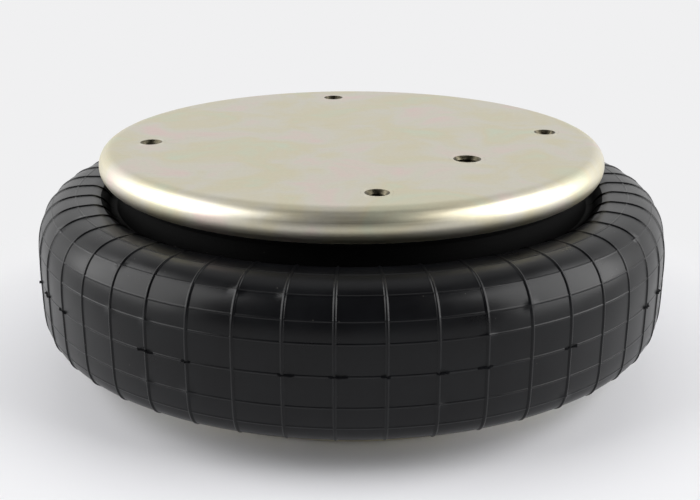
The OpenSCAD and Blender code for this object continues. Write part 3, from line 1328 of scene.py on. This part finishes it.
@dataclass(frozen=True)
class BeadPlate:
    """A flat pressed plate whose rim is rolled round the bead, with its nuts. All lengths are in millimetres.

    Attributes:
        sizes: Sizes that the wall and the plates share.
        side: The end that the plate closes.
        press_gap: Gap round a nut's neck.
        hole_edge: Bevel of a hole.
        guard: Width of the flat kept round the rim and the holes, so that the edges shade cleanly.
    """

    sizes: WallSizes
    side: Side
    bolt_circle_d: float = 228.6
    bolt_count: int = 4
    inlet_circle_d: float = 158.8
    inlet_angle_deg: float = -45.0
    press_gap: float = 0.05
    hole_edge: float = 0.04
    guard: float = 0.7
    rim_segments: int = 288
    rim_steps: int = 26
    hole_segments: int = 48

    def spots(self) -> list[tuple[str, NutSizes, float, float]]:
        """Lists the plate's nuts.

        Returns:
            The node, the sizes and the place of each.
        """
        spots = []
        for index in range(self.bolt_count):
            angle = 2 * math.pi * index / self.bolt_count
            r = self.bolt_circle_d / 2
            node = f"{self.side.prefix}_blind_nut_{index + 1}"
            spots.append((node, BLIND_NUT, r * math.cos(angle), r * math.sin(angle)))
        if self.side is Side.TOP:
            angle = math.radians(self.inlet_angle_deg)
            r = self.inlet_circle_d / 2
            spots.append(("air_inlet_nut", INLET_NUT, r * math.cos(angle), r * math.sin(angle)))
        return spots

    def rim_section(self) -> list[tuple[float, float]]:
        """Works out the rim's section, from the flat outer face round to the flat inner face.

        Returns:
            Radius and height of each point.
        """
        s = self.sizes
        lip_turn = math.asin((s.neck_r + s.bead_play - s.bead_circle_r) / s.rim_r)
        angles = np.linspace(math.pi / 2, -math.pi / 2 + lip_turn, self.rim_steps)
        centre = np.array([s.bead_circle_r, -s.rim_r])
        turn = np.stack([np.cos(angles), np.sin(angles)], axis=-1)
        outside = centre + s.rim_r * turn
        inside = centre + s.roll_r * turn[::-1]
        inset = np.array([[self.guard, 0.0]])
        return [*map(tuple, np.concatenate([outside[:1] - inset, outside, inside, inside[-1:] - inset]))]

    @staticmethod
    def ring(
        builder: bmesh.types.BMesh, centre: tuple[float, float], radius: float, height: float, count: int
    ) -> list[Any]:
        """Adds a ring of vertices.

        Args:
            builder: The mesh being built.
            centre: The ring's centre in the plane, in millimetres.
            radius: Its radius in millimetres.
            height: Its height in millimetres.
            count: How many vertices it has.

        Returns:
            The vertices, in order.
        """
        turns = [2 * math.pi * k / count for k in range(count)]
        places = [(centre[0] + radius * math.cos(a), centre[1] + radius * math.sin(a), height) for a in turns]
        return [builder.verts.new(Vector(p) * MM) for p in places]

    @staticmethod
    def fill(builder: bmesh.types.BMesh, loops: list[list[Any]], up: float) -> None:
        """Fills the flat between an outer loop and the holes in it.

        Args:
            builder: The mesh being built.
            loops: The outer loop and the holes' loops.
            up: 1 for a face that looks up, or -1.
        """
        edges = []
        for loop in loops:
            for k, vertex in enumerate(loop):
                edges.append(builder.edges.get((vertex, loop[(k + 1) % len(loop)])))
        bmesh.ops.triangle_fill(builder, use_beauty=True, edges=edges, normal=Vector((0.0, 0.0, up)))

    def build(self) -> bpy.types.Object:
        """Builds the plate and its nuts.

        Returns:
            The plate.
        """
        s = self.sizes
        builder = bmesh.new()
        rim = [self.ring(builder, (0.0, 0.0), r, z, self.rim_segments) for r, z in self.rim_section()]
        skin(builder, rim)
        outer_loops, inner_loops = [rim[0]], [rim[-1]]
        for _, nut, x, y in self.spots():
            r = nut.neck_d / 2 + self.press_gap
            steps = [
                (r + self.hole_edge + self.guard, 0.0),
                (r + self.hole_edge, 0.0),
                (r, -self.hole_edge),
                (r, -s.sheet_t),
                (r + self.guard, -s.sheet_t),
            ]
            rings = [self.ring(builder, (x, y), radius, z, self.hole_segments) for radius, z in steps]
            skin(builder, rings)
            outer_loops.append(rings[0])
            inner_loops.append(rings[-1])
        self.fill(builder, outer_loops, 1.0)
        self.fill(builder, inner_loops, -1.0)
        name = f"{self.side.prefix}_bead_plate_rolled"
        mesh = mesh_of(builder, name)
        height = s.rest_h if self.side is Side.TOP else 0.0
        mesh.transform(self.side.facing(Vector((0.0, 0.0, height))))
        piece = new_object(name, mesh, ZINC)
        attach(piece, self.side.value)
        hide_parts(f"{self.side.prefix}_bead_plate")
        LOG.info("plate %s: %d vertices", name, len(mesh.vertices))
        for node, nut, x, y in self.spots():
            PlateNut(nut, s.sheet_t).place(node, self.side, (x, y), height)
        return piece


@dataclass(frozen=True)
class SoftBox:
    """A rectangular studio lamp that points at the part.

    Attributes:
        name: The lamp's name.
        azimuth_deg: Its direction from the camera's side, with the right positive.
        elevation_deg: How high it stands, seen from the part.
        distance: Distance from the part in metres.
        size: Width and height in metres.
        power: Power in watts.
    """

    name: str
    azimuth_deg: float
    elevation_deg: float
    distance: float
    size: tuple[float, float]
    power: float

    def build(self, turn_deg: float, target: Vector) -> bpy.types.Object:
        """Adds the lamp, turned towards the part.

        Args:
            turn_deg: How far the camera is turned about the part.
            target: The point that it lights, in metres.

        Returns:
            The lamp.
        """
        lamp = bpy.data.lights.new(self.name, "AREA")
        lamp.shape = "RECTANGLE"
        lamp.size, lamp.size_y = self.size
        lamp.energy = self.power
        holder = bpy.data.objects.new(self.name, lamp)
        around = math.radians(self.azimuth_deg + turn_deg)
        up = math.radians(self.elevation_deg)
        level = self.distance * math.cos(up)
        away = Vector((level * math.sin(around), -level * math.cos(around), self.distance * math.sin(up)))
        holder.location = target + away
        holder.rotation_euler = (-away).to_track_quat("-Z", "Y").to_euler()
        bpy.context.scene.collection.objects.link(holder)
        LOG.info("lamp %s", self.name)
        return holder


LAMPS = (
    SoftBox("left_softbox", azimuth_deg=-82.0, elevation_deg=27.0, distance=2.0, size=(2.0, 1.9), power=51.0),
    SoftBox("right_softbox", azimuth_deg=79.0, elevation_deg=26.0, distance=2.0, size=(1.8, 1.9), power=57.0),
    SoftBox("top_softbox", azimuth_deg=180.0, elevation_deg=75.0, distance=1.5, size=(1.2, 0.8), power=2.0),
)


@dataclass(frozen=True)
class Studio:
    """The table, the pale backdrop, the lamps and the camera.

    Attributes:
        sizes: Sizes of the part.
        eye: The camera's place from the middle of the upper plate's face, before its turn, in millimetres.
        tilt_deg: How far it looks down.
        turn_deg: How far it is turned about the part from looking along +Y.
        focal_px: Its focal length in pixels of the picture.
        picture_w: Width of the picture in pixels.
        sensor_mm: Width of its sensor.
        table_w: Width of the table in metres.
        table_gap: How far the table lies below the part, in metres, so that their faces don't coincide.
        backdrop: Colour of the backdrop behind the part, as the part mirrors it.
        dark_room: Colour of the room before and above the part.
        behind: Cosines, from straight behind the part, between which the room turns into the backdrop.
        top_edge: Sines of the elevations between which the backdrop ends upward.
    """

    sizes: WallSizes
    eye: tuple[float, float, float] = (-0.9, -616.9, 148.2)
    tilt_deg: float = 19.42
    turn_deg: float = -6.1
    focal_px: float = 1092.0
    picture_w: float = 700.0
    sensor_mm: float = 36.0
    table_w: float = 8.0
    table_gap: float = 0.0001
    backdrop: str = "#FFFFFF"
    dark_room: str = "#303032"
    behind: tuple[float, float] = (0.0, 0.40)
    top_edge: tuple[float, float] = (0.88, 0.60)

    def camera(self) -> bpy.types.Object:
        """Adds the camera and makes it the scene's.

        Returns:
            The camera.
        """
        lens = bpy.data.cameras.new("camera")
        lens.sensor_width = self.sensor_mm
        lens.lens = self.sensor_mm * self.focal_px / self.picture_w
        holder = bpy.data.objects.new("camera", lens)
        turn = math.radians(self.turn_deg)
        from_axis = Matrix.Rotation(turn, 3, "Z") @ Vector(self.eye)
        holder.location = (from_axis + Vector((0.0, 0.0, self.sizes.rest_h))) * MM
        holder.rotation_euler = (math.pi / 2 - math.radians(self.tilt_deg), 0.0, turn)
        bpy.context.scene.collection.objects.link(holder)
        bpy.context.scene.camera = holder
        return holder

    def table(self) -> bpy.types.Object:
        """Adds the table top that the part stands on.

        Returns:
            The table.
        """
        half = self.table_w / 2
        outline = ((-half, -half), (half, -half), (half, half), (-half, half))
        corners = [(x, y, -self.table_gap) for x, y in outline]
        mesh = bpy.data.meshes.new("table")
        mesh.from_pydata(corners, [], [(0, 1, 2, 3)])
        piece = new_object("table", mesh, TABLE)
        return piece

    def world(self) -> None:
        """Sets the backdrop behind the part and the dim room before and above it, which the part mirrors."""
        world = bpy.data.worlds.new("studio")
        bpy.context.scene.world = world
        world.use_nodes = True
        tree = world.node_tree
        tree.nodes.clear()
        ray = add_node(tree, "ShaderNodeLightPath")
        direction = add_node(tree, "ShaderNodeTexCoord").outputs["Generated"]
        turn = math.radians(self.turn_deg)
        along = add_node(
            tree, "ShaderNodeVectorMath", {0: direction, 1: (-math.sin(turn), math.cos(turn), 0.0)},
            operation="DOT_PRODUCT",
        )
        behind = add_node(
            tree, "ShaderNodeMapRange",
            {"Value": along.outputs["Value"], "From Min": self.behind[0], "From Max": self.behind[1]},
            interpolation_type="SMOOTHSTEP",
        )
        split = add_node(tree, "ShaderNodeSeparateXYZ", {"Vector": direction})
        low = add_node(
            tree, "ShaderNodeMapRange",
            {"Value": split.outputs["Z"], "From Min": self.top_edge[0], "From Max": self.top_edge[1]},
            interpolation_type="SMOOTHSTEP",
        )
        mirrored = add_node(
            tree, "ShaderNodeMath", {0: behind.outputs["Result"], 1: low.outputs["Result"]},
            operation="MULTIPLY",
        )
        room = add_node(
            tree, "ShaderNodeMix",
            {"Factor": mirrored.outputs["Value"], 6: linear(self.dark_room), 7: linear(self.backdrop)},
            data_type="RGBA",
        )
        shown = add_node(
            tree, "ShaderNodeMix",
            {"Factor": ray.outputs["Is Camera Ray"], 6: room.outputs[2], 7: linear(TABLE.backdrop)},
            data_type="RGBA",
        )
        background = add_node(tree, "ShaderNodeBackground", {"Color": shown.outputs[2], "Strength": 1.0})
        add_node(tree, "ShaderNodeOutputWorld", {"Surface": background.outputs["Background"]})

    def build(self) -> None:
        """Builds the whole studio."""
        self.camera()
        self.table()
        self.world()
        target = Vector((0.0, 0.0, self.sizes.mid_h * MM))
        for lamp in LAMPS:
            lamp.build(self.turn_deg, target)
        bpy.context.scene.view_settings.view_transform = "Standard"


def main() -> None:
    """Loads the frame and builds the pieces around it."""
    logging.basicConfig(level=logging.INFO, format="%(name)s: %(message)s")
    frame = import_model()
    sizes = WallSizes.from_frame()
    LOG.info("sizes %s", sizes)
    Studio(sizes).build()
    for side in Side:
        BeadPlate(sizes, side).build()
    BellowsWall(sizes, MouldPattern()).build(frame["nodes"])


if __name__ == "__main__":
    main()
